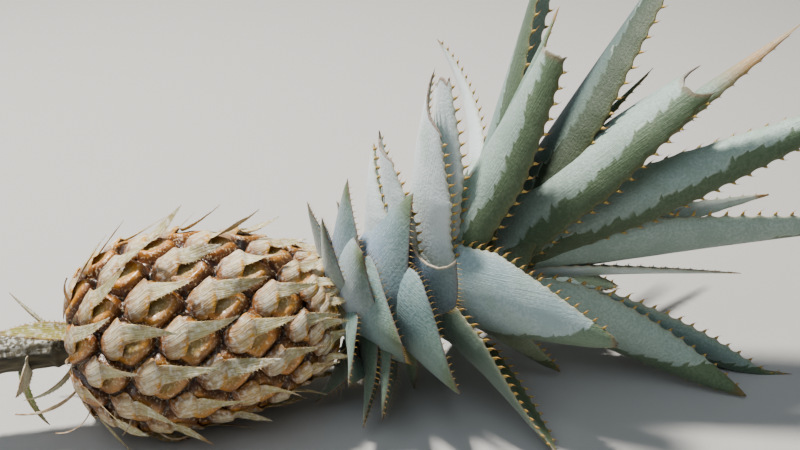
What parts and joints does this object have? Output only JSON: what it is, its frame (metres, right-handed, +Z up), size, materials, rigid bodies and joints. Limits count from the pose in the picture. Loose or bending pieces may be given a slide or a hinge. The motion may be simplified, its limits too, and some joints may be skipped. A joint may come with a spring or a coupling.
{
  "type": "cut wild pineapple with its crown of leaves",
  "caption": "Small wild pineapple cut on its stalk and lying down, with bossed eyes under papery bracts and a spiny crown of channelled leaves.",
  "frame": {"origin": "on the ground below the middle of the whole piece", "axes": "+X from the cut stalk towards the crown, +Z up, -Y towards the side that the picture shows"},
  "size_m": [0.3906, 0.1642, 0.2096],
  "materials": {
    "fruit_rind": "waxy amber rind of bossed eyes with dark creases",
    "stalk_skin": "ridged grey-brown stalk with pale scurf",
    "stem_flesh": "pale fibrous stem inside the crown",
    "bloomy_scale": "silvery blue-grey scale with a mealy bloom",
    "silvery_leaf": "pale blue-green leaf with a mealy bloom",
    "green_leaf": "dull dark green leaf",
    "dry_bract": "thin papery bract, straw and olive"
  },
  "bodies": {
    "root": {"fruit": "fruit_rind", "stalk": "stalk_skin", "crown_stem": "stem_flesh", "crown_scale_01": "bloomy_scale", "crown_scale_02": "bloomy_scale", "crown_scale_03": "bloomy_scale", "crown_scale_04": "bloomy_scale", "crown_scale_05": "bloomy_scale", "crown_scale_06": "green_leaf", "crown_scale_07": "bloomy_scale", "crown_scale_08": "bloomy_scale", "crown_scale_09": "bloomy_scale", "crown_scale_10": "green_leaf", "crown_scale_11": "bloomy_scale", "crown_scale_12": "bloomy_scale", "crown_scale_13": "green_leaf", "crown_scale_14": "bloomy_scale", "crown_leaf_01": "silvery_leaf", "crown_leaf_02": "silvery_leaf", "crown_leaf_03": "green_leaf", "crown_leaf_04": "silvery_leaf", "crown_leaf_05": "silvery_leaf", "crown_leaf_06": "silvery_leaf", "crown_leaf_07": "green_leaf", "crown_leaf_08": "silvery_leaf", "crown_leaf_09": "silvery_leaf", "crown_leaf_10": "green_leaf", "crown_leaf_11": "silvery_leaf", "crown_leaf_12": "green_leaf", "crown_leaf_13": "silvery_leaf", "crown_leaf_14": "silvery_leaf", "crown_leaf_15": "silvery_leaf", "crown_leaf_16": "silvery_leaf", "crown_leaf_17": "silvery_leaf", "crown_leaf_18": "silvery_leaf", "crown_leaf_19": "silvery_leaf", "crown_leaf_20": "silvery_leaf", "crown_leaf_21": "silvery_leaf", "far_leaf_01": "bloomy_scale", "far_leaf_02": "bloomy_scale", "far_leaf_03": "bloomy_scale", "far_leaf_04": "bloomy_scale", "far_leaf_05": "bloomy_scale", "far_leaf_06": "silvery_leaf", "far_leaf_07": "silvery_leaf", "far_leaf_08": "silvery_leaf", "far_leaf_09": "silvery_leaf", "far_leaf_10": "silvery_leaf", "far_leaf_11": "silvery_leaf", "far_leaf_12": "silvery_leaf", "far_leaf_13": "silvery_leaf", "stalk_bract_01": "dry_bract", "stalk_bract_02": "dry_bract", "stalk_bract_03": "dry_bract", "stalk_bract_04": "dry_bract", "stalk_bract_05": "dry_bract"}
  },
  "joints": []
}
